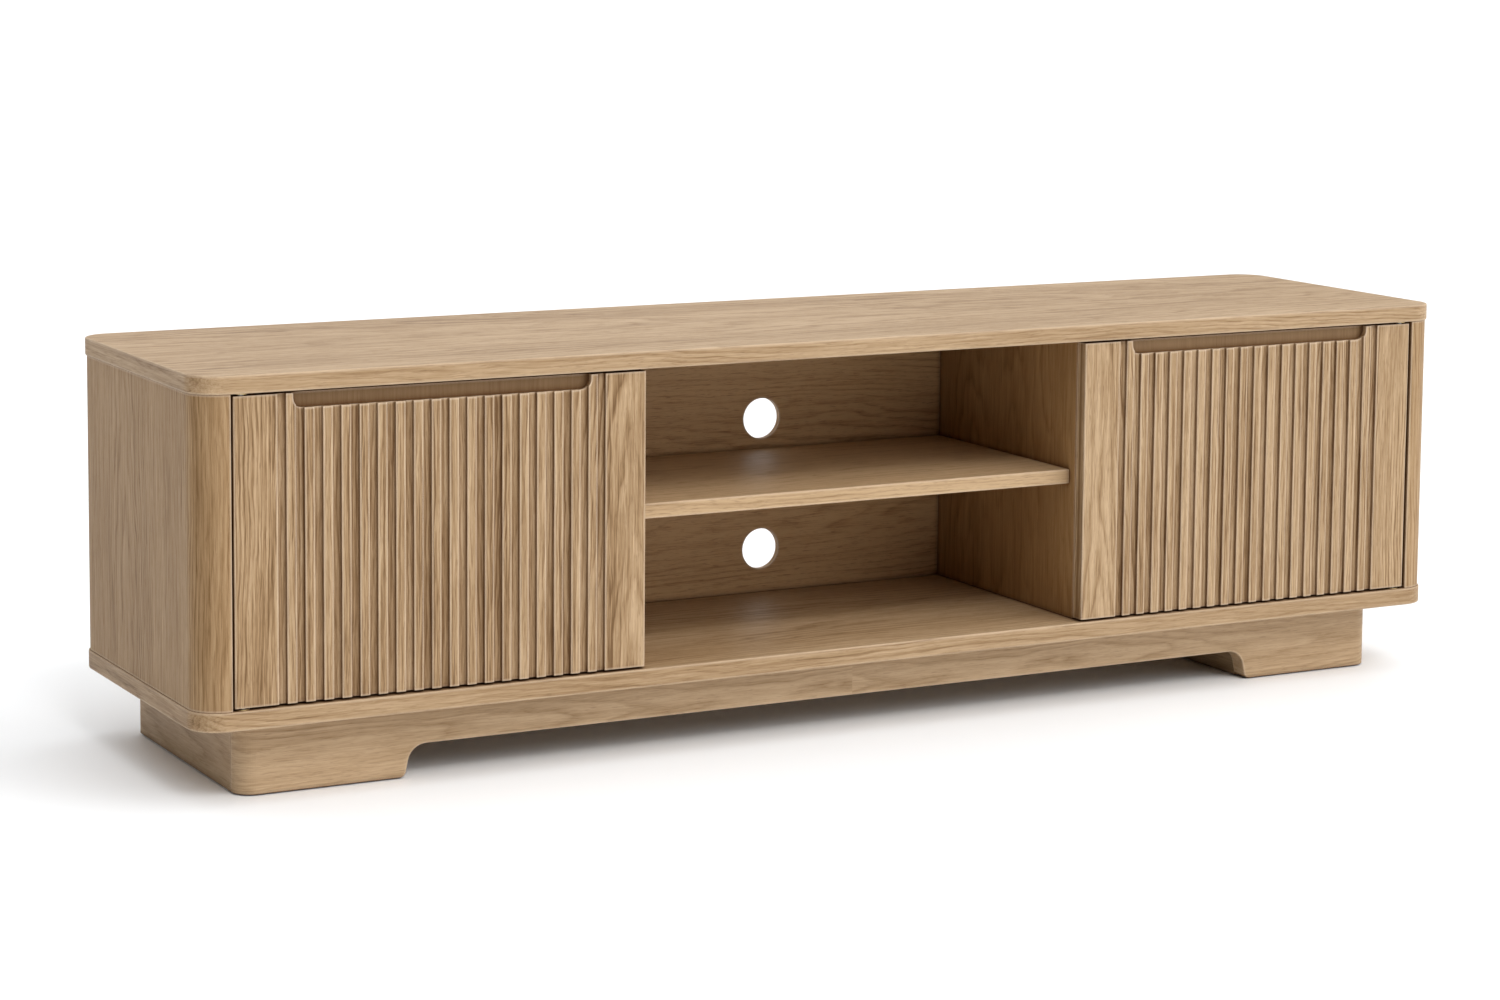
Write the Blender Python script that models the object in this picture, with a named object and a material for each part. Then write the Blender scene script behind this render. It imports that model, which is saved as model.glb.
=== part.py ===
"""A low oak media cabinet: two fluted doors, an open centre bay with one shelf, and a recessed plinth.

Metres, +Z up. The origin is on the floor under the middle of the cabinet, +X runs along its length to the
viewer's right and the doors face -Y. Run with: blender --background --python part.py
"""

import math

import bmesh
import bpy
from mathutils import Matrix, Vector

# ---- driving dimensions ----
WIDTH = 1.800
DEPTH = 0.440
HEIGHT = 0.510
GAP = 0.0003  # between two pieces that touch

TOP_T = 0.022
BASE_T = 0.023
BASE_TOP = 0.115  # height of the bottom panel's upper face
CORNER_R = 0.040  # plan radius of the top and bottom panels
EDGE_R = 0.0015  # eased edges of the top and bottom panels
EASE_R = 0.0008  # eased edges of the other boards
ARC_STEPS = 14  # segments in a quarter circle of a plan outline
CORNER_STEPS = 6  # segments in a small rounded corner
ROUND_STEPS = 24  # segments round a pivot, its bush or a glide
PIN_STEPS = 16  # segments round a shelf pin or a bumper
HOLE_STEPS = 64  # segments round a cable hole
CORNER_MID = 1 - math.sqrt(0.5)  # inset of a quarter circle's middle, as a share of its radius
SHARP_ANGLE = 30.0  # degrees between faces that shade apart
EASE_ANGLE = 40.0  # degrees between faces whose edge is eased
CUT_OVER = 0.010  # how far a cutter stands out of the board it cuts

SHELL_INSET = 0.002  # the sides stand this far inside the top panel's outline
SHELL_T = 0.020
POST_W = 0.042  # from the side's outer face to its edge beside a door

DOOR_OUTER = 0.853  # x of a door's hinged edge
DOOR_INNER = 0.321  # x of a door's free edge
DOOR_SETBACK = 0.004
DOOR_T = 0.019
DOOR_TOP_GAP = 0.0030
DOOR_BASE_GAP = 0.0030
SLATS = 18
FLUTE_PITCH = 0.0229
FLUTE_W = 0.0105
FLUTE_DEPTH = 0.004
SLAT_EDGE_R = 0.0008
RECESS_L = 0.384
RECESS_H = 0.018
RECESS_DEPTH = 0.010
RECESS_R = 0.012

PARTITION_T = 0.019
PARTITION_IN = 0.322  # x of a partition's face towards the centre bay
PARTITION_FRONT_GAP = 0.002  # behind a closed door
CARCASS_BACK = 0.205  # y of the partitions' rear edges
BACK_FACE_Y = 0.150  # y of the back panels' front faces
BACK_T = 0.008
SHELF_TOP = 0.314
SHELF_T = 0.019
SHELF_FRONT = -0.1815

HOLE_X = 0.038
HOLE_D = 0.0555
HOLE_HEIGHTS = (0.355, 0.175)

INNER_SHELF_TOP = 0.306
INNER_SHELF_T = 0.018
INNER_SHELF_Y = (-0.165, 0.146)
INNER_SHELF_CLEAR = 0.0015
SHELF_PIN_Y = (-0.120, 0.100)
SHELF_PIN_R = 0.0025
SHELF_PIN_DEPTH = 0.008  # of its hole
SHELF_PIN_COLLAR_R = 0.0045
SHELF_PIN_COLLAR_T = 0.0012
SHELF_PIN_REACH = 0.009

PIVOT_X = 0.841  # the door's axis
PIVOT_SETBACK = 0.0080  # of that axis behind the door's front face
PIVOT_R = 0.004
PIVOT_DEPTH = 0.012  # of the pin's hole in the door, and of the bush
PIVOT_END_CLEAR = 0.002  # left beyond the pin in its bush
BUSH_R = 0.0065
BUSH_FLANGE_R = 0.0085
BUSH_FLANGE_T = 0.0009

CATCH_SIZE = (0.040, 0.014, 0.012)
CATCH_X = 0.372
CATCH_GAP = 0.0006  # between the catch and its strike plate
STRIKE_SIZE = (0.030, 0.0010, 0.012)
STRIKE_DROP = 0.002  # of the strike plate below the middle of the overlap
BUMPER_R = 0.004
BUMPER_T = 0.0013
BUMPER_X = 0.331
BUMPER_HEIGHTS = (0.140, 0.440)

PLINTH_X = 0.834  # half of the plinth's length
PLINTH_FRONT = -0.172
PLINTH_BACK = 0.186
PLINTH_T = 0.025
PLINTH_LIFT = 0.0015  # the glides' height
CROSS_X = 0.6225  # x of a cross board's face towards the middle
CROSS_T = 0.020
ARCH_TOP = 0.041
ARCH_HALF = 0.594  # half of the arch's straight run
ARCH_R = 0.024
ARCH_SLANT = 12.0  # degrees off vertical at the foot
ARCH_TOE_R = 0.005
GLIDE_R = 0.008
GLIDE_T = 0.0012
GLIDE_INSET = 0.030  # from the rails' inner faces

# ---- derived positions ----
HALF_W = WIDTH / 2
HALF_D = DEPTH / 2
TOP_UNDER = HEIGHT - TOP_T
BASE_UNDER = BASE_TOP - BASE_T
WALL_Z = (BASE_TOP + GAP, TOP_UNDER - GAP)
SHELL_X = HALF_W - SHELL_INSET
SHELL_Y = HALF_D - SHELL_INSET
POST_X = SHELL_X - POST_W
DOOR_FRONT = -HALF_D + DOOR_SETBACK
DOOR_BACK = DOOR_FRONT + DOOR_T
DOOR_Z = (BASE_TOP + DOOR_BASE_GAP, TOP_UNDER - DOOR_TOP_GAP)
PARTITION_FRONT = DOOR_BACK + PARTITION_FRONT_GAP
PARTITION_OUT = PARTITION_IN + PARTITION_T
PIVOT_Y = DOOR_FRONT + PIVOT_SETBACK
PLINTH_Z = (PLINTH_LIFT, BASE_UNDER - GAP)
SIDES = (("left", -1), ("right", 1))

# ---- materials ----
PALETTE = {
    "oak": ((0.47, 0.31, 0.17), 0.48, 0.0),
    "oak_inside": ((0.40, 0.26, 0.14), 0.52, 0.0),
    "steel": ((0.58, 0.58, 0.57), 0.32, 1.0),
    "brass": ((0.62, 0.47, 0.25), 0.35, 1.0),
    "dark_plastic": ((0.035, 0.033, 0.030), 0.5, 0.0),
    "clear_rubber": ((0.55, 0.54, 0.50), 0.6, 0.0),
    "felt": ((0.30, 0.25, 0.20), 0.95, 0.0),
}


def material(name):
    """The Principled material of that name, made on its first use."""
    found = bpy.data.materials.get(name)
    if found is not None:
        return found
    colour, roughness, metallic = PALETTE[name]
    made = bpy.data.materials.new(name)
    made.use_nodes = True
    shader = made.node_tree.nodes["Principled BSDF"]
    shader.inputs["Base Color"].default_value = (*colour, 1.0)
    shader.inputs["Roughness"].default_value = roughness
    shader.inputs["Metallic"].default_value = metallic
    return made


# ---- modelling helpers ----
AXIS_FRAMES = {
    "Z": Matrix.Identity(3),
    "Y": Matrix(((1, 0, 0), (0, 0, 1), (0, 1, 0))),
    "X": Matrix(((0, 0, 1), (1, 0, 0), (0, 1, 0))),
}


def add_prism(mesh, outline, low, high, axis="Z"):
    """Extrudes a closed outline between two places on an axis: (x, y) for Z, (x, z) for Y, (y, z) for X."""
    turn = AXIS_FRAMES[axis]
    rings = [[mesh.verts.new(turn @ Vector((u, v, w))) for u, v in outline] for w in (low, high)]
    made = [mesh.faces.new(rings[0]), mesh.faces.new(rings[1])]
    count = len(outline)
    for i in range(count):
        after = (i + 1) % count
        made.append(mesh.faces.new((rings[0][i], rings[0][after], rings[1][after], rings[1][i])))
    bmesh.ops.recalc_face_normals(mesh, faces=made)


def place(name, mesh, slot, origin=(0.0, 0.0, 0.0), parent=None):
    """Turns a bmesh in world coordinates into an object whose origin is at the given point."""
    data = bpy.data.meshes.new(name)
    mesh.transform(Matrix.Translation(-Vector(origin)))
    mesh.to_mesh(data)
    mesh.free()
    data.set_sharp_from_angle(angle=math.radians(SHARP_ANGLE))
    if slot is not None:
        data.materials.append(material(slot))
    node = bpy.data.objects.new(name, data)
    bpy.context.scene.collection.objects.link(node)
    node.location = origin
    if parent is not None:
        node.parent = parent
        node.matrix_parent_inverse = Matrix.Translation(-Vector(parent.location))
    return node


def prism(name, slot, outline, low, high, axis="Z", **where):
    mesh = bmesh.new()
    add_prism(mesh, outline, low, high, axis)
    return place(name, mesh, slot, **where)


def rectangle(u0, u1, v0, v1):
    return [(u0, v0), (u1, v0), (u1, v1), (u0, v1)]


def box(name, slot, xs, ys, zs, **where):
    low_x, high_x = sorted(xs)
    return prism(name, slot, rectangle(low_x, high_x, *ys), *zs, **where)


def circle(centre, radius, steps):
    turns = [2 * math.pi * i / steps for i in range(steps)]
    return [(centre[0] + radius * math.cos(t), centre[1] + radius * math.sin(t)) for t in turns]


def arc(centre, radius, start, end, steps):
    """Points on an arc, both ends included, angles in degrees."""
    turns = [math.radians(start + (end - start) * i / steps) for i in range(steps + 1)]
    return [(centre[0] + radius * math.cos(t), centre[1] + radius * math.sin(t)) for t in turns]


def add_turned(mesh, start, axis, stations, steps=ROUND_STEPS):
    """A turned solid along X or Z from (distance, radius) stations; its ends are flat."""
    along = Vector((1, 0, 0)) if axis == "X" else Vector((0, 0, 1))
    across = Vector((0, 1, 0))
    third = along.cross(across)
    rings = []
    for distance, radius in stations:
        spot = Vector(start) + along * distance
        turns = [2 * math.pi * i / steps for i in range(steps)]
        ring = [spot + across * radius * math.cos(t) + third * radius * math.sin(t) for t in turns]
        rings.append([mesh.verts.new(point) for point in ring])
    made = [mesh.faces.new(rings[0]), mesh.faces.new(rings[-1])]
    for lower, upper in zip(rings, rings[1:]):
        for i in range(steps):
            after = (i + 1) % steps
            made.append(mesh.faces.new((lower[i], lower[after], upper[after], upper[i])))
    bmesh.ops.recalc_face_normals(mesh, faces=made)


def turned(name, slot, start, axis, stations, steps=ROUND_STEPS, **where):
    mesh = bmesh.new()
    add_turned(mesh, start, axis, stations, steps)
    return place(name, mesh, slot, **where)


def ease(node, width=EASE_R, segments=1):
    """Rounds a board's sharp edges."""
    bevel = node.modifiers.new("eased edges", "BEVEL")
    bevel.width = width
    bevel.segments = segments
    bevel.limit_method = "ANGLE"
    bevel.angle_limit = math.radians(EASE_ANGLE)


def carve(node, mesh):
    """Takes the solids in a bmesh out of a node."""
    tool = place("cut_" + node.name, mesh, None)
    tool.hide_render = True
    tool.display_type = "WIRE"
    cut = node.modifiers.new("cut", "BOOLEAN")
    cut.operation = "DIFFERENCE"
    cut.object = tool
    cut.solver = "EXACT"


# ---- outlines ----
def rounded_rectangle(half_x, half_y, radius):
    outline = []
    for turn, sx, sy in ((0, 1, 1), (90, -1, 1), (180, -1, -1), (270, 1, -1)):
        centre = (sx * (half_x - radius), sy * (half_y - radius))
        outline += arc(centre, radius, turn, turn + 90, ARC_STEPS)
    return outline


def shell_outline(side):
    """A side seen from above: a flat board whose front and rear edges curl round into short flat ends."""
    outer_r = CORNER_R - SHELL_INSET
    inner_r = outer_r - SHELL_T
    centre_x = SHELL_X - outer_r
    centre_y = SHELL_Y - outer_r
    outer = arc((centre_x, -centre_y), outer_r, -90, 0, ARC_STEPS)
    outer += arc((centre_x, centre_y), outer_r, 0, 90, ARC_STEPS)
    inner = arc((centre_x, centre_y), inner_r, 90, 0, ARC_STEPS)
    inner += arc((centre_x, -centre_y), inner_r, 0, -90, ARC_STEPS)
    front_end = arc((POST_X + EASE_R, -SHELL_Y + EASE_R), EASE_R, 180, 270, 2)
    back_end = arc((POST_X + EASE_R, SHELL_Y - EASE_R), EASE_R, 90, 180, 2) + [(POST_X, SHELL_Y - SHELL_T)]
    inner_end = [(POST_X, -SHELL_Y + SHELL_T)]
    return [(side * x, y) for x, y in front_end + outer + back_end + inner + inner_end]


def lining_outline(side):
    """The board that fills a side shell and shows inside the cabinet."""
    outer_r = CORNER_R - SHELL_INSET
    inner_r = outer_r - SHELL_T - GAP
    centre_x = SHELL_X - outer_r
    centre_y = SHELL_Y - outer_r
    curve = arc((centre_x, -centre_y), inner_r, -90, 0, ARC_STEPS)
    curve += arc((centre_x, centre_y), inner_r, 0, 90, ARC_STEPS)
    face_y = centre_y + inner_r
    return [(side * x, y) for x, y in [(POST_X, -face_y)] + curve + [(POST_X, face_y)]]


def door_outline(side):
    """A door's section from above: flat margins, and slats with eased corners between flutes."""
    pattern = SLATS * FLUTE_PITCH + FLUTE_W
    start = (DOOR_INNER + DOOR_OUTER - pattern) / 2
    floor_y = DOOR_FRONT + FLUTE_DEPTH
    r = SLAT_EDGE_R
    mid = r * CORNER_MID
    front = [(DOOR_INNER, DOOR_FRONT + r), (DOOR_INNER + r, DOOR_FRONT)]
    for k in range(SLATS + 1):
        left = start + k * FLUTE_PITCH
        right = left + FLUTE_W
        front += [(left - r, DOOR_FRONT), (left - mid, DOOR_FRONT + mid), (left, DOOR_FRONT + r)]
        front += [(left, floor_y), (right, floor_y)]
        front += [(right, DOOR_FRONT + r), (right + mid, DOOR_FRONT + mid), (right + r, DOOR_FRONT)]
    front += [(DOOR_OUTER - r, DOOR_FRONT), (DOOR_OUTER, DOOR_FRONT + r)]
    section = front + [(DOOR_OUTER, DOOR_BACK), (DOOR_INNER, DOOR_BACK)]
    return [(side * x, y) for x, y in section]


def recess_outline(side):
    """A finger recess from the front: open at the door's top edge, with rounded lower corners."""
    middle = side * (DOOR_INNER + DOOR_OUTER) / 2
    half = RECESS_L / 2
    floor_z = DOOR_Z[1] - RECESS_H
    corner_z = floor_z + RECESS_R
    above = DOOR_Z[1] + CUT_OVER
    lower = arc((middle - half + RECESS_R, corner_z), RECESS_R, 180, 270, CORNER_STEPS)
    lower += arc((middle + half - RECESS_R, corner_z), RECESS_R, 270, 360, CORNER_STEPS)
    return [(middle - half, above)] + lower + [(middle + half, above)]


def arch_outline(half_length):
    """A plinth rail from the front: two feet joined by a rail, with a long low arch between them."""
    slant = math.radians(ARCH_SLANT)
    centre_z = ARCH_TOP - ARCH_R
    inner = arc((ARCH_HALF, centre_z), ARCH_R, ARCH_SLANT, 90, CORNER_STEPS)
    toe_x = inner[0][0] + (inner[0][1] - PLINTH_Z[0]) * math.tan(slant)
    toe = [
        (toe_x + ARCH_TOE_R, PLINTH_Z[0]),
        (toe_x + ARCH_TOE_R * CORNER_MID, PLINTH_Z[0] + ARCH_TOE_R * CORNER_MID),
        (toe_x - ARCH_TOE_R * math.tan(slant), PLINTH_Z[0] + ARCH_TOE_R),
    ]
    right = [(half_length, PLINTH_Z[1]), (half_length, PLINTH_Z[0])] + toe + inner
    left = [(-x, z) for x, z in reversed(right)]
    return right + left


# ---- sub-parts ----
def carcass():
    plan = rounded_rectangle(HALF_W, HALF_D, CORNER_R)
    top = prism("top_panel", "oak", plan, TOP_UNDER, HEIGHT)
    ease(top, EDGE_R, 2)
    base = prism("bottom_panel", "oak", plan, BASE_UNDER, BASE_TOP)
    ease(base, EDGE_R, 2)
    bush_seat = BUSH_R + GAP
    for panel, face, reach in ((top, TOP_UNDER, PIVOT_DEPTH), (base, BASE_TOP, -PIVOT_DEPTH)):
        seats = bmesh.new()
        for _, side in SIDES:
            outline = circle((side * PIVOT_X, PIVOT_Y), bush_seat, ROUND_STEPS)
            add_prism(seats, outline, *sorted((face - math.copysign(CUT_OVER, reach), face + reach)))
        carve(panel, seats)
    for label, side in SIDES:
        prism(f"side_shell_{label}", "oak", shell_outline(side), *WALL_Z)
        lining = prism(f"side_lining_{label}", "oak_inside", lining_outline(side), *WALL_Z)
        carve(lining, shelf_pin_holes(side, POST_X, 1))
        depth = (PARTITION_FRONT, CARCASS_BACK)
        xs = (side * PARTITION_IN, side * PARTITION_OUT)
        wall = box(f"partition_{label}", "oak_inside", xs, depth, WALL_Z)
        ease(wall)
        carve(wall, shelf_pin_holes(side, PARTITION_OUT, -1))


def shelf_pin_holes(side, face_x, into):
    """Blind holes for the inner shelf's pins, in the board whose face is at face_x; into is +1 outwards."""
    holes = bmesh.new()
    for pin_y in SHELF_PIN_Y:
        start = (side * (face_x - into * CUT_OVER), pin_y, shelf_pin_height())
        reach = side * into * (SHELF_PIN_DEPTH + CUT_OVER)
        radius = SHELF_PIN_R + GAP
        add_turned(holes, start, "X", ((0.0, radius), (reach, radius)), PIN_STEPS)
    return holes


def shelf_pin_height():
    return INNER_SHELF_TOP - INNER_SHELF_T - GAP - SHELF_PIN_R


def backs():
    depth = (BACK_FACE_Y, BACK_FACE_Y + BACK_T)
    inner = PARTITION_IN - GAP
    centre = box("back_panel_centre", "oak_inside", (-inner, inner), depth, WALL_Z)
    holes = bmesh.new()
    for height in HOLE_HEIGHTS:
        outline = circle((HOLE_X, height), HOLE_D / 2, HOLE_STEPS)
        add_prism(holes, outline, depth[0] - CUT_OVER, depth[1] + CUT_OVER, "Y")
    carve(centre, holes)
    for label, side in SIDES:
        xs = (side * (PARTITION_OUT + GAP), side * (POST_X - GAP))
        box(f"back_panel_{label}", "oak_inside", xs, depth, WALL_Z)


def shelves():
    zs = (SHELF_TOP - SHELF_T, SHELF_TOP)
    inner = PARTITION_IN - GAP
    shelf = box("centre_shelf", "oak_inside", (-inner, inner), (SHELF_FRONT, BACK_FACE_Y - GAP), zs)
    ease(shelf)
    for label, side in SIDES:
        xs = (side * (PARTITION_OUT + INNER_SHELF_CLEAR), side * (POST_X - INNER_SHELF_CLEAR))
        zs = (INNER_SHELF_TOP - INNER_SHELF_T, INNER_SHELF_TOP)
        ease(box(f"inner_shelf_{label}", "oak_inside", xs, INNER_SHELF_Y, zs))
        shelf_pins(label, side)


def shelf_pins(label, side):
    """Four pins under one inner shelf: a stem in the board, a collar against it and a stub for the shelf."""
    tail = SHELF_PIN_DEPTH - 2 * GAP
    stations = (
        (-tail, SHELF_PIN_R),
        (GAP, SHELF_PIN_R),
        (GAP, SHELF_PIN_COLLAR_R),
        (SHELF_PIN_COLLAR_T, SHELF_PIN_COLLAR_R),
        (SHELF_PIN_COLLAR_T, SHELF_PIN_R),
        (SHELF_PIN_REACH, SHELF_PIN_R),
    )
    for face_name, face_x, into in (("outer", POST_X, 1), ("inner", PARTITION_OUT, -1)):
        for end_name, pin_y in zip(("front", "rear"), SHELF_PIN_Y):
            flip = -side * into
            turned_stations = tuple((flip * distance, radius) for distance, radius in stations)
            name = f"shelf_pin_{label}_{face_name}_{end_name}"
            start = (side * face_x, pin_y, shelf_pin_height())
            turned(name, "steel", start, "X", turned_stations, PIN_STEPS)


def pivot_point(side):
    return (side * PIVOT_X, PIVOT_Y, DOOR_Z[0])


def doors():
    for label, side in SIDES:
        hinge = bpy.data.objects.new(f"pivot_{label}", None)
        hinge.location = pivot_point(side)
        bpy.context.scene.collection.objects.link(hinge)
        where = {"parent": hinge, "origin": pivot_point(side)}
        door = prism(f"door_{label}", "oak", door_outline(side), *DOOR_Z, **where)
        cuts = bmesh.new()
        recess = recess_outline(side)
        add_prism(cuts, recess, DOOR_FRONT - CUT_OVER, DOOR_FRONT + RECESS_DEPTH, "Y")
        spot = (side * PIVOT_X, PIVOT_Y)
        for face, reach in ((DOOR_Z[0], PIVOT_DEPTH), (DOOR_Z[1], -PIVOT_DEPTH)):
            ends = sorted((face - math.copysign(CUT_OVER, reach), face + reach))
            add_prism(cuts, circle(spot, PIVOT_R + GAP, ROUND_STEPS), *ends)
        carve(door, cuts)
        door_pins(label, side, hinge)
        door_stops(label, side, hinge)


def door_pins(label, side, hinge):
    """A steel pin at each end of the door's axis, and the bush it turns in."""
    seat = PIVOT_DEPTH - 2 * GAP
    ends = (("top", DOOR_Z[1], TOP_UNDER, 1), ("base", DOOR_Z[0], BASE_TOP, -1))
    for end, face, panel, up in ends:
        start = (side * PIVOT_X, PIVOT_Y, face - up * seat)
        reach = up * (seat + abs(panel - face) + seat - PIVOT_END_CLEAR)
        stations = ((0.0, PIVOT_R), (reach, PIVOT_R))
        turned(f"pivot_pin_{label}_{end}", "steel", start, "Z", stations, parent=hinge)
        bush(f"pivot_bush_{label}_{end}", (side * PIVOT_X, PIVOT_Y, panel), up)


def bush(name, spot, up):
    """A flanged sleeve let into a panel's face, open right through."""
    bore = PIVOT_R + GAP
    sleeve = PIVOT_DEPTH - GAP
    profile = (
        (-GAP - BUSH_FLANGE_T, bore),
        (-GAP - BUSH_FLANGE_T, BUSH_FLANGE_R),
        (-GAP, BUSH_FLANGE_R),
        (-GAP, BUSH_R),
        (sleeve, BUSH_R),
        (sleeve, bore),
    )
    mesh = bmesh.new()
    rings = []
    for distance, radius in profile:
        ring = circle(spot[:2], radius, ROUND_STEPS)
        rings.append([mesh.verts.new((x, y, spot[2] + up * distance)) for x, y in ring])
    for lower, upper in zip(rings, rings[1:] + rings[:1]):
        for i in range(ROUND_STEPS):
            after = (i + 1) % ROUND_STEPS
            mesh.faces.new((lower[i], lower[after], upper[after], upper[i]))
    bmesh.ops.recalc_face_normals(mesh, faces=mesh.faces[:])
    place(name, mesh, "brass")


def door_stops(label, side, hinge):
    """The magnetic catch under the top, its strike plate on the door and two soft bumpers."""
    half = CATCH_SIZE[0] / 2
    strike_back = DOOR_BACK + GAP + STRIKE_SIZE[1]
    catch_front = strike_back + CATCH_GAP
    ys = (catch_front, catch_front + CATCH_SIZE[1])
    zs = (WALL_Z[1] - CATCH_SIZE[2], WALL_Z[1])
    xs = (side * (CATCH_X - half), side * (CATCH_X + half))
    box(f"magnet_catch_{label}", "dark_plastic", xs, ys, zs)
    half = STRIKE_SIZE[0] / 2
    middle_z = (zs[0] + DOOR_Z[1]) / 2 - STRIKE_DROP
    xs = (side * (CATCH_X - half), side * (CATCH_X + half))
    ys = (DOOR_BACK + GAP, strike_back)
    zs = (middle_z - STRIKE_SIZE[2] / 2, middle_z + STRIKE_SIZE[2] / 2)
    box(f"strike_plate_{label}", "steel", xs, ys, zs, parent=hinge)
    for place_name, height in zip(("low", "high"), BUMPER_HEIGHTS):
        outline = circle((side * BUMPER_X, height), BUMPER_R, PIN_STEPS)
        ys = (DOOR_BACK + GAP, DOOR_BACK + GAP + BUMPER_T)
        name = f"door_bumper_{label}_{place_name}"
        prism(name, "clear_rubber", outline, *ys, axis="Y", parent=hinge)


def plinth():
    front = (PLINTH_FRONT, PLINTH_FRONT + PLINTH_T)
    rear = (PLINTH_BACK - PLINTH_T, PLINTH_BACK)
    rail = prism("plinth_front_rail", "oak", arch_outline(PLINTH_X), *front, axis="Y")
    round_rail_ends(rail)
    ease(rail)
    board_x = PLINTH_X - PLINTH_T
    prism("plinth_rear_rail", "oak", arch_outline(board_x - GAP), *rear, axis="Y")
    for label, side in SIDES:
        xs = (side * board_x, side * PLINTH_X)
        ease(box(f"plinth_side_{label}", "oak", xs, (front[1] + GAP, PLINTH_BACK), PLINTH_Z))
        xs = (side * CROSS_X, side * (CROSS_X + CROSS_T))
        ys = (front[1] + GAP, rear[0] - GAP)
        ease(box(f"plinth_cross_{label}", "oak_inside", xs, ys, PLINTH_Z))
        glides(label, side, (front[1], rear[0]))


def round_rail_ends(rail):
    """Rounds the front rail's two outer corners with a cutter that leaves a quarter circle in plan."""
    corners = bmesh.new()
    for _, side in SIDES:
        centre = (PLINTH_X - PLINTH_T, PLINTH_FRONT + PLINTH_T)
        kept = arc(centre, PLINTH_T, -90, 0, ARC_STEPS)
        far = (PLINTH_X + CUT_OVER, PLINTH_FRONT - CUT_OVER)
        outline = kept + [(far[0], centre[1]), far, (centre[0], far[1])]
        outline = [(side * x, y) for x, y in outline]
        add_prism(corners, outline, -CUT_OVER, BASE_UNDER + CUT_OVER)
    carve(rail, corners)


def glides(label, side, ys):
    """Four low glides under one pair of foot boards."""
    for board, x in (("side", PLINTH_X - PLINTH_T / 2), ("cross", CROSS_X + CROSS_T / 2)):
        for end, y in (("front", ys[0] + GLIDE_INSET), ("rear", ys[1] - GLIDE_INSET)):
            outline = circle((side * x, y), GLIDE_R, ROUND_STEPS)
            prism(f"glide_{label}_{board}_{end}", "felt", outline, 0.0, GLIDE_T)


def main():
    for old in list(bpy.data.objects):
        bpy.data.objects.remove(old, do_unlink=True)
    carcass()
    backs()
    shelves()
    doors()
    plinth()


main()
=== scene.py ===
"""Looks for the oak media cabinet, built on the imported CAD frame. Metres, +Z up, doors facing -Y."""

import math

import bpy
from mathutils import Matrix, Vector

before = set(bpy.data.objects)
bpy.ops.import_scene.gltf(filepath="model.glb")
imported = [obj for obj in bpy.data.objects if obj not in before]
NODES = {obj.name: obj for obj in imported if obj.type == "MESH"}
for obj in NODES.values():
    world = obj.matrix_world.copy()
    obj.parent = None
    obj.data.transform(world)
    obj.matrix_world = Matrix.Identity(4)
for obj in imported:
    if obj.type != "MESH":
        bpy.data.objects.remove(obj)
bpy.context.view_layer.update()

# ---- camera, lights and floor ----
CAMERA_AT = (-2.2511, -4.0724, 1.0661)
CAMERA_TURN = 28.260  # degrees to the right of +Y
CAMERA_TILT = 6.360  # degrees below the horizon
CAMERA_ROLL = 0.488  # degrees, right side up
CAMERA_LENS = 85.44
CAMERA_SHIFT_Y = -0.140

# soft lights: degrees from -Y towards +X, height and spread in degrees, strength
LIGHTS = (
    ("key", -5.0, 48.5, 14.0, 0.53),
    ("overhead", 20.0, 60.0, 82.0, 2.02),
    ("low_front", 30.0, 20.0, 60.0, 0.85),
    ("right", 80.0, 35.0, 80.0, 1.06),
    ("behind", 176.0, 42.0, 88.0, 1.36),
    ("left", -90.0, 38.0, 70.0, 0.38),
)
SUN_DISTANCE = 3.0
FLOOR_REACH = 60.0
FLOOR_COLOUR = (0.96, 0.975, 0.99, 1.0)
FLOOR_ROUGHNESS = 0.6
FLOOR_SPECULAR = 0.25

# ---- oak: its colours from dark to light, those of its pores, and the painted shade in its crevices and painted highlight on its eased edges ----
OAK_LEVEL = 0.58
OAK_STOPS = (
    (0.00, (0.160, 0.086, 0.034)),
    (0.30, (0.295, 0.182, 0.089)),
    (0.60, (0.402, 0.270, 0.150)),
    (1.00, (0.520, 0.368, 0.224)),
)
OAK_PORE = (0.185, 0.103, 0.048, 1.0)
OAK_CREVICE_SHADE = (0.085, 0.027, 0.004, 1.0)
OAK_EDGE_HIGHLIGHT = (0.640, 0.500, 0.365, 1.0)

# growth rings: their spacing in metres, their shade across one ring, its mean and its weight in the tone
RING_SPACING = 0.0052
RING_STOPS = ((0.0, 0.05), (0.10, 0.25), (0.42, 0.80), (0.80, 1.0), (1.0, 0.30))
RING_MEAN = 0.72
RING_WEIGHT = 0.34

# how fast each part of the figure changes along, across and through a board, per metre
WANDER_STRETCH = (2.2, 11.0, 11.0)
RIPPLE_STRETCH = (14.0, 60.0, 60.0)
STRENGTH_STRETCH = (3.0, 16.0, 16.0)
FIBRE_STRETCH = (16.0, 620.0, 620.0)
STREAK_STRETCH = (4.0, 130.0, 130.0)
BROAD_STRETCH = (1.1, 13.0, 13.0)
PORE_STRETCH = (55.0, 1500.0, 1500.0)
# how far the fibres wander, in metres, and how far apart two seeds' figures lie
WANDER_REACH = (0.0, 0.034, 0.034)
RIPPLE_REACH = (0.0, 0.0050, 0.0050)
SEED_STEP = (7.31, 3.17, 5.83)
# how much each part changes the tone
FIBRE_WEIGHT = 0.74
STREAK_WEIGHT = 0.62
BROAD_WEIGHT = 0.50
PORE_DEPTH = -0.8
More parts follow.
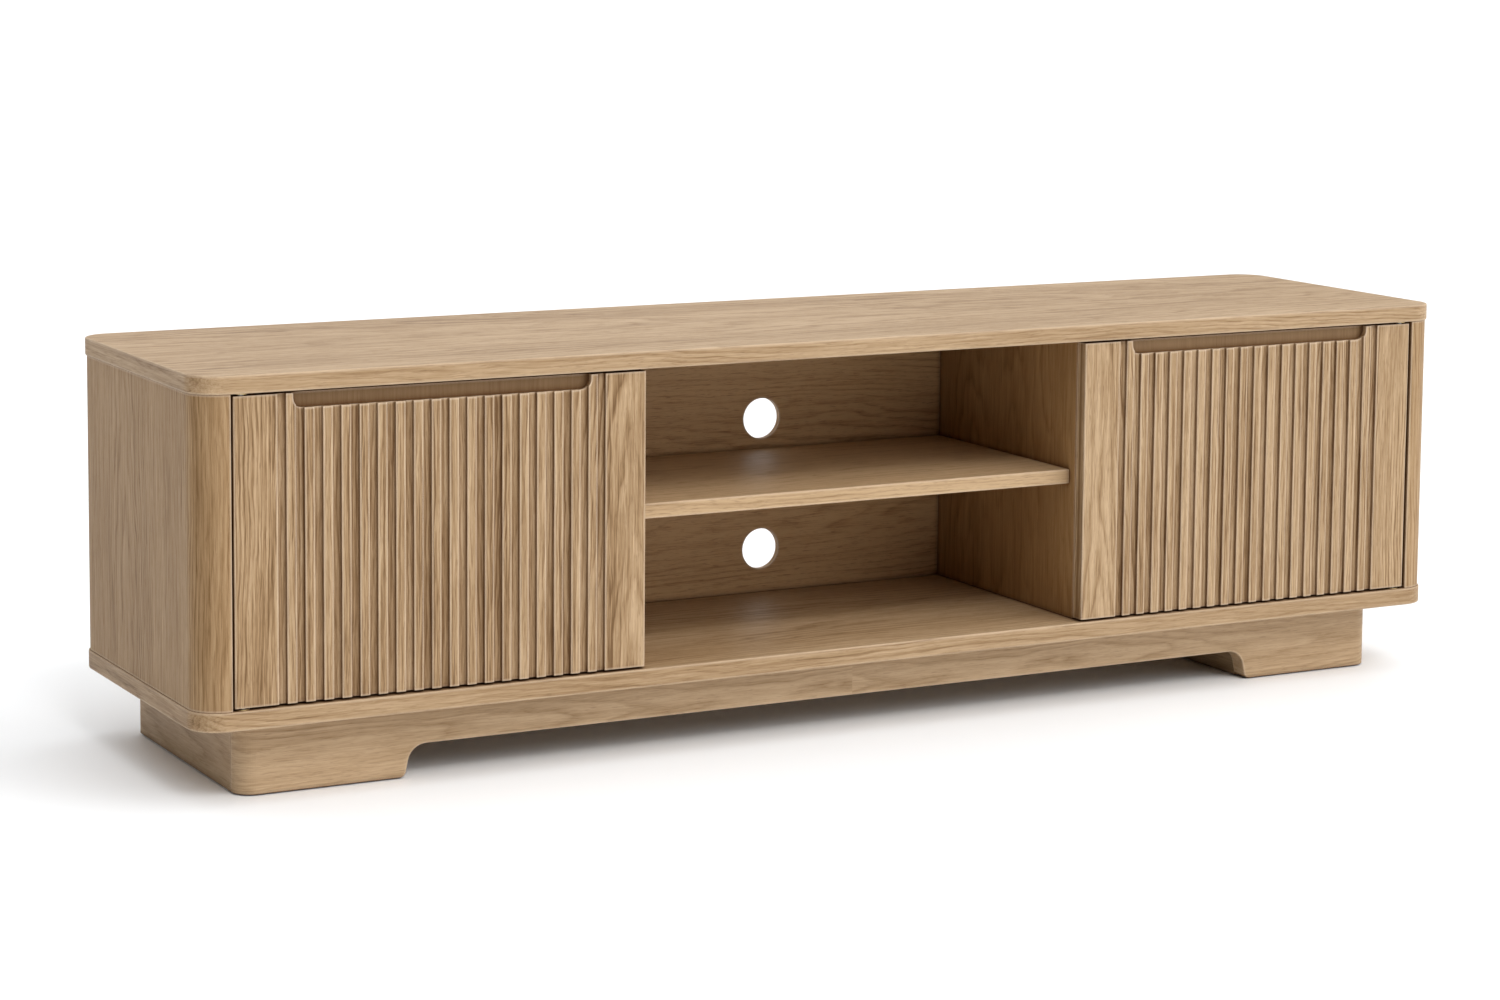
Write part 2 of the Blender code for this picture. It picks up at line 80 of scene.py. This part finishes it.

# painted edge highlights and painted crevice shade: how far the ambient occlusion looks, in metres, and the spans
# (from, from, to, to) that it is read by
HIGHLIGHT_REACH = 0.0032
HIGHLIGHT_SPAN = (0.97, 0.50, 0.0, 0.85)
HIGHLIGHT_CLEAR_OF_SHADE = (0.05, 0.45, 1.0, 0.0)
CREVICE_SHADE_REACH = 0.009
CREVICE_SHADE_SPAN = (0.92, 0.30, 0.0, 0.88)
CREVICE_ROUGHER = 0.5
OAK_ROUGHNESS = 0.46
RELIEF_GLOSS = -0.16
OAK_BUMP = 0.22
OAK_BUMP_DEPTH = 0.0004
OAK_IOR = 1.5

# panels: where the end bands' grain turns, by |normal.x|, where an edge begins, by |normal.z|, and how much darker
BAND_TURN = (0.55, 0.80)
BAND_SEED_STEP = 0.37
BAND_DARKER = 0.12
PANEL_EDGE = (0.5, 0.1)
PANEL_EDGE_DARKER = 0.08

# doors
SLATS = 18
FLUTE_PITCH = 0.0229
FLUTE_W = 0.0105
DOOR_MIDDLE = sum(corner[0] for corner in NODES["door_right"].bound_box) / 8
DOOR_FRONT = min(corner[1] for corner in NODES["door_right"].bound_box)
RECESS_DEPTH = 0.010
RECESS_MARGIN = (0.002, 0.003)
# painted shade: how much darker the finger recess is painted
RECESS_SHADE = 0.33
RECESS_FIGURE = 0.10
SLAT_CHANGE = 0.18
SLAT_SEED_SPREAD = 0.9
SIDE_STEP = 40.0

FIBRE_PARTS = ("Tone", "Pores", "Relief")
MIDDLE = (0.5, 0.5, 0.5)


class Graph:
    """Short calls for building a node tree."""

    def __init__(self, tree):
        self.tree = tree
        tree.nodes.clear()

    def add(self, kind, inputs=None, **settings):
        node = self.tree.nodes.new(kind)
        for key, value in settings.items():
            setattr(node, key, value)
        for key, value in (inputs or {}).items():
            self.feed(node.inputs[key], value)
        return node

    def feed(self, socket, value):
        if isinstance(value, bpy.types.NodeSocket):
            self.tree.links.new(value, socket)
        else:
            socket.default_value = value

    def math(self, operation, *values, clamp=False):
        inputs = dict(enumerate(values))
        return self.add("ShaderNodeMath", inputs, operation=operation, use_clamp=clamp).outputs[0]

    def vector(self, operation, *values):
        return self.add("ShaderNodeVectorMath", dict(enumerate(values)), operation=operation).outputs[0]

    def parts(self, vector):
        """A vector's X, Y and Z."""
        return self.add("ShaderNodeSeparateXYZ", {0: vector}).outputs

    def noise(self, point, stretch, detail=2.0, rough=0.5, out="Fac"):
        """Noise that changes at its own rate along each axis."""
        place = self.vector("MULTIPLY", point, stretch)
        inputs = {"Vector": place, "Scale": 1.0, "Detail": detail, "Roughness": rough}
        return self.add("ShaderNodeTexNoise", inputs).outputs[out]

    def span(self, value, low, high, to_low=0.0, to_high=1.0, smooth=False):
        inputs = {"Value": value, "From Min": low, "From Max": high, "To Min": to_low, "To Max": to_high}
        kind = "SMOOTHSTEP" if smooth else "LINEAR"
        return self.add("ShaderNodeMapRange", inputs, interpolation_type=kind).outputs["Result"]

    def ramp(self, value, stops):
        node = self.add("ShaderNodeValToRGB", {"Fac": value})
        ramp = node.color_ramp
        while len(ramp.elements) < len(stops):
            ramp.elements.new(0.5)
        for element, (place, shade) in zip(ramp.elements, stops):
            element.position = place
            shade = (shade, shade, shade) if isinstance(shade, float) else shade
            element.color = (*shade, 1.0)
        return node.outputs["Color"]

    def mix(self, factor, a, b, blend="MIX"):
        node = self.add("ShaderNodeMix", data_type="RGBA", blend_type=blend)
        for socket, value in ((node.inputs[0], factor), (node.inputs[6], a), (node.inputs[7], b)):
            self.feed(socket, value)
        return node.outputs[2]


def grain_group():
    """Oak figure from board coordinates (along, across, through): its tone, its open pores and its relief.

    Heart is the ring's middle line: how steeply it dips along the board, its place across it and its depth.
    """
    tree = bpy.data.node_groups.new("oak_grain", "ShaderNodeTree")
    face = tree.interface
    face.new_socket("Board", in_out="INPUT", socket_type="NodeSocketVector")
    face.new_socket("Heart", in_out="INPUT", socket_type="NodeSocketVector")
    face.new_socket("Seed", in_out="INPUT", socket_type="NodeSocketFloat")
    for name in FIBRE_PARTS:
        face.new_socket(name, in_out="OUTPUT", socket_type="NodeSocketFloat")
    g = Graph(tree)
    given = g.add("NodeGroupInput")
    board, heart, seed = given.outputs["Board"], given.outputs["Heart"], given.outputs["Seed"]
    away = g.add("ShaderNodeCombineXYZ", {0: seed, 1: seed, 2: seed}).outputs[0]
    spot = g.vector("ADD", board, g.vector("MULTIPLY", away, SEED_STEP))

    # slow wander of the fibres, then rings about a heart line that dips along the board
    wander = g.noise(spot, WANDER_STRETCH, detail=3.0, rough=0.55, out="Color")
    wander = g.vector("MULTIPLY", g.vector("SUBTRACT", wander, MIDDLE), WANDER_REACH)
    ripple = g.noise(spot, RIPPLE_STRETCH, out="Color")
    ripple = g.vector("MULTIPLY", g.vector("SUBTRACT", ripple, MIDDLE), RIPPLE_REACH)
    bent = g.parts(g.vector("ADD", g.vector("ADD", board, wander), ripple))
    line = g.parts(heart)
    dip = g.math("MULTIPLY_ADD", bent["X"], line["X"], line["Z"])
    sideways = g.math("SUBTRACT", bent["Y"], line["Y"])
    deep = g.math("ADD", bent["Z"], dip)
    flat = g.add("ShaderNodeCombineXYZ", {0: sideways, 1: deep}).outputs[0]
    reach = g.add("ShaderNodeVectorMath", {0: flat}, operation="LENGTH").outputs["Value"]
    ring = g.ramp(g.math("FRACT", g.math("DIVIDE", reach, RING_SPACING)), RING_STOPS)
    strength = g.span(g.noise(spot, STRENGTH_STRETCH), 0.36, 0.66, 0.15, 1.0, True)

    rippled = g.vector("ADD", spot, ripple)
    fibre = g.noise(rippled, FIBRE_STRETCH, detail=3.0, rough=0.60)
    streak = g.noise(g.vector("ADD", spot, wander), STREAK_STRETCH, detail=3.0, rough=0.6)
    broad = g.noise(spot, BROAD_STRETCH)
    tone = g.math("MULTIPLY", g.math("SUBTRACT", ring, RING_MEAN), strength)
    tone = g.math("MULTIPLY", tone, RING_WEIGHT)
    for part, weight in ((fibre, FIBRE_WEIGHT), (streak, STREAK_WEIGHT), (broad, BROAD_WEIGHT)):
        tone = g.math("MULTIPLY_ADD", g.math("SUBTRACT", part, 0.5), weight, tone)

    # open pores are short dashes, and more of them lie in a ring's early wood
    dash = g.noise(rippled, PORE_STRETCH, detail=1.0)
    early = g.span(ring, 0.75, 0.15)
    dash = g.span(g.math("MULTIPLY_ADD", early, 0.07, dash), 0.60, 0.70, 0.0, 1.0, True)
    relief = g.math("MULTIPLY_ADD", dash, PORE_DEPTH, fibre)
    g.add("NodeGroupOutput", {"Tone": tone, "Pores": dash, "Relief": relief})
    return tree


GRAIN = grain_group()
# which object axes run along the grain, across it and through the board
AXES = {
    "x": ("X", "Y", "Z"),
    "x up": ("X", "Z", "Y"),
    "x round": ("X", "Z", "Y"),
    "y up": ("Y", "Z", "X"),
    "z": ("Z", "X", "Y"),
    "z deep": ("Z", "Y", "X"),
}


def board_vector(g, point, axes):
    """Rearranges object coordinates into (along the grain, across it, through the board)."""
    parts = g.parts(point)
    along, across, through = (parts[axis] for axis in AXES[axes])
    if axes == "x round":
        # the grain follows a rail round its ends
        along = g.math("MULTIPLY_ADD", g.math("SIGN", along), through, along)
        through = g.math("MULTIPLY", through, 0.1)
    return g.add("ShaderNodeCombineXYZ", {0: along, 1: across, 2: through}).outputs[0]


def figure_of(g, point, axes, heart, seed):
    """The tone, pores and relief of one board's figure."""
    inputs = {"Board": board_vector(g, point, axes), "Heart": heart, "Seed": seed}
    node = g.add("ShaderNodeGroup", node_tree=GRAIN)
    for key, value in inputs.items():
        g.feed(node.inputs[key], value)
    return [node.outputs[key] for key in FIBRE_PARTS]


def slat_number(g, point):
    """Numbers the flutes and slats of the two doors, so that each slat can differ a little."""
    x = g.parts(point)["X"]
    first_flute = DOOR_MIDDLE - (SLATS * FLUTE_PITCH + FLUTE_W) / 2
    start = first_flute - (FLUTE_PITCH - FLUTE_W) / 2
    along = g.math("DIVIDE", g.math("SUBTRACT", g.math("ABSOLUTE", x), start), FLUTE_PITCH)
    number = g.math("FLOOR", g.math("MAXIMUM", g.math("MINIMUM", along, SLATS + 1.0), -1.0))
    return g.math("MULTIPLY_ADD", g.math("SIGN", x), SIDE_STEP, number)


def slat_look(g, point, seed, level):
    """Each slat differs a little, and the finger recess is painted darker, as painted shade.

    Gives the figure's seed, the wood's level and a mask that is 0 in the recess and 1 elsewhere.
    """
    number = g.math("ADD", slat_number(g, point), seed)
    chance = g.add("ShaderNodeTexWhiteNoise", {"W": number}, noise_dimensions="1D").outputs["Value"]
    behind = g.math("SUBTRACT", g.parts(point)["Y"], DOOR_FRONT + RECESS_DEPTH)
    front = g.span(g.math("ABSOLUTE", behind), *RECESS_MARGIN)
    lift = g.math("MULTIPLY", g.math("SUBTRACT", chance, 0.5), SLAT_CHANGE)
    # painted shade darkens the finger recess
    level = g.math("MULTIPLY_ADD", g.math("ADD", lift, RECESS_SHADE), front, level - RECESS_SHADE)
    return g.math("MULTIPLY_ADD", chance, SLAT_SEED_SPREAD, seed), level, front


def band_look(g, point, heart, seed, figure, level, normal):
    """A panel's short ends carry a band whose grain runs along the edge. All its edges are a little darker."""
    turn = g.span(g.math("ABSOLUTE", normal["X"]), *BAND_TURN, smooth=True)
    other = figure_of(g, point, "y up", heart, seed + BAND_SEED_STEP)
    figure = [g.math("MULTIPLY_ADD", g.math("SUBTRACT", b, a), turn, a) for a, b in zip(figure, other)]
    upright = g.span(g.math("ABSOLUTE", normal["Z"]), *PANEL_EDGE)
    level = g.math("MULTIPLY_ADD", upright, -PANEL_EDGE_DARKER, level)
    return figure, g.math("ADD", g.math("MULTIPLY", turn, -BAND_DARKER), level)


def edge_highlight_and_crevice_shade(g, colour):
    """Painted highlights on eased edges and painted shade in crevices. Gives the colour, and how deep the crevice
    shade is.
    """
    local = {"inside": True, "only_local": True}
    inside = g.add("ShaderNodeAmbientOcclusion", {"Distance": HIGHLIGHT_REACH}, samples=4, **local)
    around = g.add("ShaderNodeAmbientOcclusion", {"Distance": CREVICE_SHADE_REACH}, samples=6)
    crevice_shade = g.span(around.outputs["AO"], *CREVICE_SHADE_SPAN)
    clear = g.span(crevice_shade, *HIGHLIGHT_CLEAR_OF_SHADE)
    edge_highlight = g.math("MULTIPLY", g.span(inside.outputs["AO"], *HIGHLIGHT_SPAN), clear)
    return g.mix(crevice_shade, g.mix(edge_highlight, colour, OAK_EDGE_HIGHLIGHT), OAK_CREVICE_SHADE), crevice_shade


def oak(
    name, axes, seed, heart=(0.04, 0.0, 0.06), contrast=1.0, tone=0.0, tint=(1.0, 1.0, 1.0), gloss=0.22,
    door=False, banded=False, corner_shade=0.0,
):
    """Oak whose grain runs along one axis.

    contrast is the figure's strength and tone makes the whole board lighter or darker. A door has slats and a
    finger recess, a banded panel has its own edges, and corner_shade is painted shade: how much darker the wood
    is painted where it curls round an upright corner.
    """
    made = bpy.data.materials.new("oak_" + name)
    made.use_nodes = True
    g = Graph(made.node_tree)
    point = g.add("ShaderNodeTexCoord").outputs["Object"]
    spread, level = seed, OAK_LEVEL + tone
    if door:
        spread, level, front = slat_look(g, point, seed, level)
    figure = figure_of(g, point, axes, heart, spread)
    normal = g.parts(g.add("ShaderNodeNewGeometry").outputs["True Normal"])
    # painted shade where a shell curls round an upright corner
    if corner_shade:
        slant = g.math("ABSOLUTE", g.math("MULTIPLY", normal["X"], normal["Y"]))
        level = g.math("MULTIPLY_ADD", slant, -2.0 * corner_shade, level)
    if banded:
        figure, level = band_look(g, point, heart, seed, figure, level, normal)
    shade, pores, relief = figure
    if door:
        shade = g.math("MULTIPLY", shade, g.span(front, 0.0, 1.0, RECESS_FIGURE, 1.0))
        pores = g.math("MULTIPLY", pores, front)
    colour = g.ramp(g.math("MULTIPLY_ADD", shade, contrast, level), OAK_STOPS)
    colour = g.mix(g.math("MULTIPLY", pores, min(0.30 * contrast, 0.5)), colour, OAK_PORE)
    colour = g.mix(1.0, colour, (*tint, 1.0), "MULTIPLY")
    # painted highlights on eased edges and painted shade in crevices, from ambient occlusion
    colour, crevice_shade = edge_highlight_and_crevice_shade(g, colour)
    rough = g.math("MULTIPLY_ADD", g.math("SUBTRACT", relief, 0.5), RELIEF_GLOSS, OAK_ROUGHNESS)
    rough = g.math("MULTIPLY_ADD", crevice_shade, CREVICE_ROUGHER, rough, clamp=True)
    bump = g.add("ShaderNodeBump", {"Strength": OAK_BUMP, "Distance": OAK_BUMP_DEPTH, "Height": relief})
    inputs = {
        "Base Color": colour,
        "Roughness": rough,
        "Normal": bump.outputs["Normal"],
        "Specular IOR Level": gloss,
        "IOR": OAK_IOR,
    }
    shader = g.add("ShaderNodeBsdfPrincipled", inputs)
    g.add("ShaderNodeOutputMaterial", {"Surface": shader.outputs[0]})
    return made


def fitting(name, colour, rough, metal=0.0, scale=(400.0, 400.0, 400.0), shade=0.12, relief=0.0001):
    """A small fitting's material: fine uneven colour, roughness and surface from one stretched noise."""
    made = bpy.data.materials.new(name)
    made.use_nodes = True
    g = Graph(made.node_tree)
    point = g.add("ShaderNodeTexCoord").outputs["Object"]
    fine = g.noise(point, scale, detail=3.0, rough=0.6)
    low = tuple(c * (1 - shade) for c in colour) + (1.0,)
    high = tuple(min(1.0, c * (1 + shade)) for c in colour) + (1.0,)
    paint = g.mix(fine, low, high)
    roughness = g.span(fine, 0.25, 0.75, rough * 0.85, min(1.0, rough * 1.15))
    bump = g.add("ShaderNodeBump", {"Strength": 0.3, "Distance": relief, "Height": fine}).outputs["Normal"]
    inputs = {"Base Color": paint, "Roughness": roughness, "Normal": bump, "Metallic": metal}
    shader = g.add("ShaderNodeBsdfPrincipled", inputs)
    g.add("ShaderNodeOutputMaterial", {"Surface": shader.outputs[0]})
    return made


def finish_nodes():
    """Gives every CAD node its finish."""
    # painted bounce light: warm tints standing in for light thrown between the inner boards
    bounce_warm, bounce_warmer = (1.0, 0.95, 0.84), (1.02, 0.90, 0.70)
    looks = {
        "top_panel": dict(
            axes="x", seed=1.0, heart=(0.020, 0.02, 0.085), contrast=1.4, tone=0.01, banded=True,
        ),
        "bottom_panel": dict(axes="x", seed=2.0, heart=(0.020, -0.05, 0.080), contrast=1.3, banded=True),
        # painted light: the centre shelf's tone is raised and its tint warmed
        "centre_shelf": dict(
            axes="x", seed=3.0, heart=(0.025, 0.03, 0.070), contrast=1.4, tone=0.37, tint=(0.98, 0.95, 0.89),
        ),
        # painted light: the centre back panel is painted lighter and warmer
        "back_panel_centre": dict(
            axes="x up", seed=4.0, heart=(0.045, 0.26, 0.030), contrast=1.8, tone=0.36, tint=(1.06, 0.94, 0.76),
        ),
        # painted light: the front rail is painted lighter, standing in for light thrown up from the floor
        "plinth_front_rail": dict(
            axes="x round", seed=5.0, heart=(0.03, 0.05, 0.060), contrast=1.2, tone=0.19,
        ),
        "plinth_rear_rail": dict(axes="x up", seed=5.6, heart=(0.03, 0.05, 0.060), contrast=0.9),
    }
    for label, side in (("left", -1), ("right", 1)):
        lift = 10.0 * (side + 2)
        looks[f"door_{label}"] = dict(
            axes="z", seed=lift + 1, heart=(0.05, side * 0.345, 0.25), contrast=2.1,
            # painted shade: the left door's tone is lower than the right's, as more light falls from the right
            tone=-0.095 + 0.05 * side, tint=(1.0, 0.99, 0.97), door=True,
        )
        looks[f"side_shell_{label}"] = dict(
            # painted shade: the left shell's tone is lower than the right's, as less light falls on the left
            axes="z deep", seed=lift + 2, heart=(0.03, 0.04, 0.95), contrast=1.2, tone=-0.08 + 0.07 * side,
            tint=(1.0, 0.985, 0.96), gloss=0.10, corner_shade=0.13,
        )
        looks[f"side_lining_{label}"] = dict(axes="z deep", seed=lift + 3, contrast=0.9, tint=bounce_warm)
        # painted shade: the partitions are painted darker and warmer
        looks[f"partition_{label}"] = dict(
            axes="z deep", seed=lift + 4, heart=(0.05, 0.02, 0.30), contrast=0.9, tone=-0.18, tint=bounce_warmer,
        )
        # painted light: the side back panels are painted lighter and warmer
        looks[f"back_panel_{label}"] = dict(
            axes="x up", seed=lift + 5, heart=(0.045, 0.30, 0.030), contrast=1.1, tone=0.20, tint=bounce_warm,
        )
        looks[f"inner_shelf_{label}"] = dict(axes="x", seed=lift + 6, tint=bounce_warm)
        looks[f"plinth_side_{label}"] = dict(axes="y up", seed=lift + 7, contrast=0.95)
        looks[f"plinth_cross_{label}"] = dict(axes="y up", seed=lift + 8, contrast=0.95)
    fittings = {
        "shelf_pin": fitting("pin_steel", (0.56, 0.56, 0.55), 0.30, 1.0, (900.0, 90.0, 90.0)),
        "pivot_pin": fitting("pivot_steel", (0.58, 0.58, 0.57), 0.28, 1.0, (90.0, 90.0, 900.0)),
        "strike_plate": fitting("strike_steel", (0.55, 0.55, 0.54), 0.36, 1.0, (60.0, 900.0, 900.0)),
        "pivot_bush": fitting("bush_brass", (0.60, 0.44, 0.21), 0.34, 1.0),
        "magnet_catch": fitting("catch_plastic", (0.045, 0.042, 0.038), 0.50, relief=0.0002),
        "door_bumper": fitting("bumper_rubber", (0.55, 0.54, 0.50), 0.55),
        "glide": fitting(
            "glide_felt", (0.28, 0.23, 0.18), 0.95, scale=(1500.0, 1500.0, 1500.0), shade=0.35, relief=0.0006,
        ),
    }
    for node, piece in NODES.items():
        if node in looks:
            finish = oak(node, **looks[node])
        else:
            finish = next(look for start, look in fittings.items() if node.startswith(start))
        for place in piece.material_slots:
            place.material = finish


def sun(name, turn, height, spread, strength):
    """A soft light that shines on the object from one direction."""
    data = bpy.data.lights.new(name, "SUN")
    data.energy = strength
    data.angle = math.radians(spread)
    lamp = bpy.data.objects.new(name, data)
    turn, height = math.radians(turn), math.radians(height)
    ahead, rise = math.cos(height), math.sin(height)
    towards = Vector((math.sin(turn) * ahead, -math.cos(turn) * ahead, rise))
    lamp.rotation_euler = towards.to_track_quat("Z", "Y").to_euler()
    lamp.location = towards * SUN_DISTANCE
    bpy.context.scene.collection.objects.link(lamp)


def studio():
    """A pale floor, soft lights and an even surround that looks white behind the object."""
    for light in LIGHTS:
        sun(*light)
    world = bpy.data.worlds.new("surround")
    world.use_nodes = True
    bpy.context.scene.world = world
    g = Graph(world.node_tree)
    seen = g.add("ShaderNodeLightPath").outputs["Is Camera Ray"]
    light = g.add("ShaderNodeBackground", {"Color": (1.0, 1.0, 1.0, 1.0), "Strength": seen})
    g.add("ShaderNodeOutputWorld", {"Surface": light.outputs[0]})

    data = bpy.data.meshes.new("floor")
    r = FLOOR_REACH
    data.from_pydata([(-r, -r, 0), (r, -r, 0), (r, r, 0), (-r, r, 0)], [], [(0, 1, 2, 3)])
    floor = bpy.data.objects.new("floor", data)
    bpy.context.scene.collection.objects.link(floor)
    made = bpy.data.materials.new("floor")
    made.use_nodes = True
    shader = made.node_tree.nodes["Principled BSDF"]
    shader.inputs["Base Color"].default_value = FLOOR_COLOUR
    shader.inputs["Roughness"].default_value = FLOOR_ROUGHNESS
    shader.inputs["Specular IOR Level"].default_value = FLOOR_SPECULAR
    data.materials.append(made)


def camera():
    """A camera at the photograph's viewing angle, placed from the object's own frame."""
    data = bpy.data.cameras.new("camera")
    data.lens = CAMERA_LENS
    data.shift_y = CAMERA_SHIFT_Y
    turn, tilt, roll = (math.radians(a) for a in (CAMERA_TURN, CAMERA_TILT, CAMERA_ROLL))
    ahead = Vector((math.sin(turn) * math.cos(tilt), math.cos(turn) * math.cos(tilt), -math.sin(tilt)))
    level = ahead.cross(Vector((0, 0, 1))).normalized()
    upright = level.cross(ahead)
    right = level * math.cos(roll) + upright * math.sin(roll)
    up = upright * math.cos(roll) - level * math.sin(roll)
    frame_axes = Matrix((right, up, -ahead)).transposed().to_4x4()
    eye = bpy.data.objects.new("camera", data)
    eye.matrix_world = Matrix.Translation(CAMERA_AT) @ frame_axes
    bpy.context.scene.collection.objects.link(eye)
    bpy.context.scene.camera = eye


finish_nodes()
studio()
camera()
bpy.context.scene.view_settings.view_transform = "Standard"
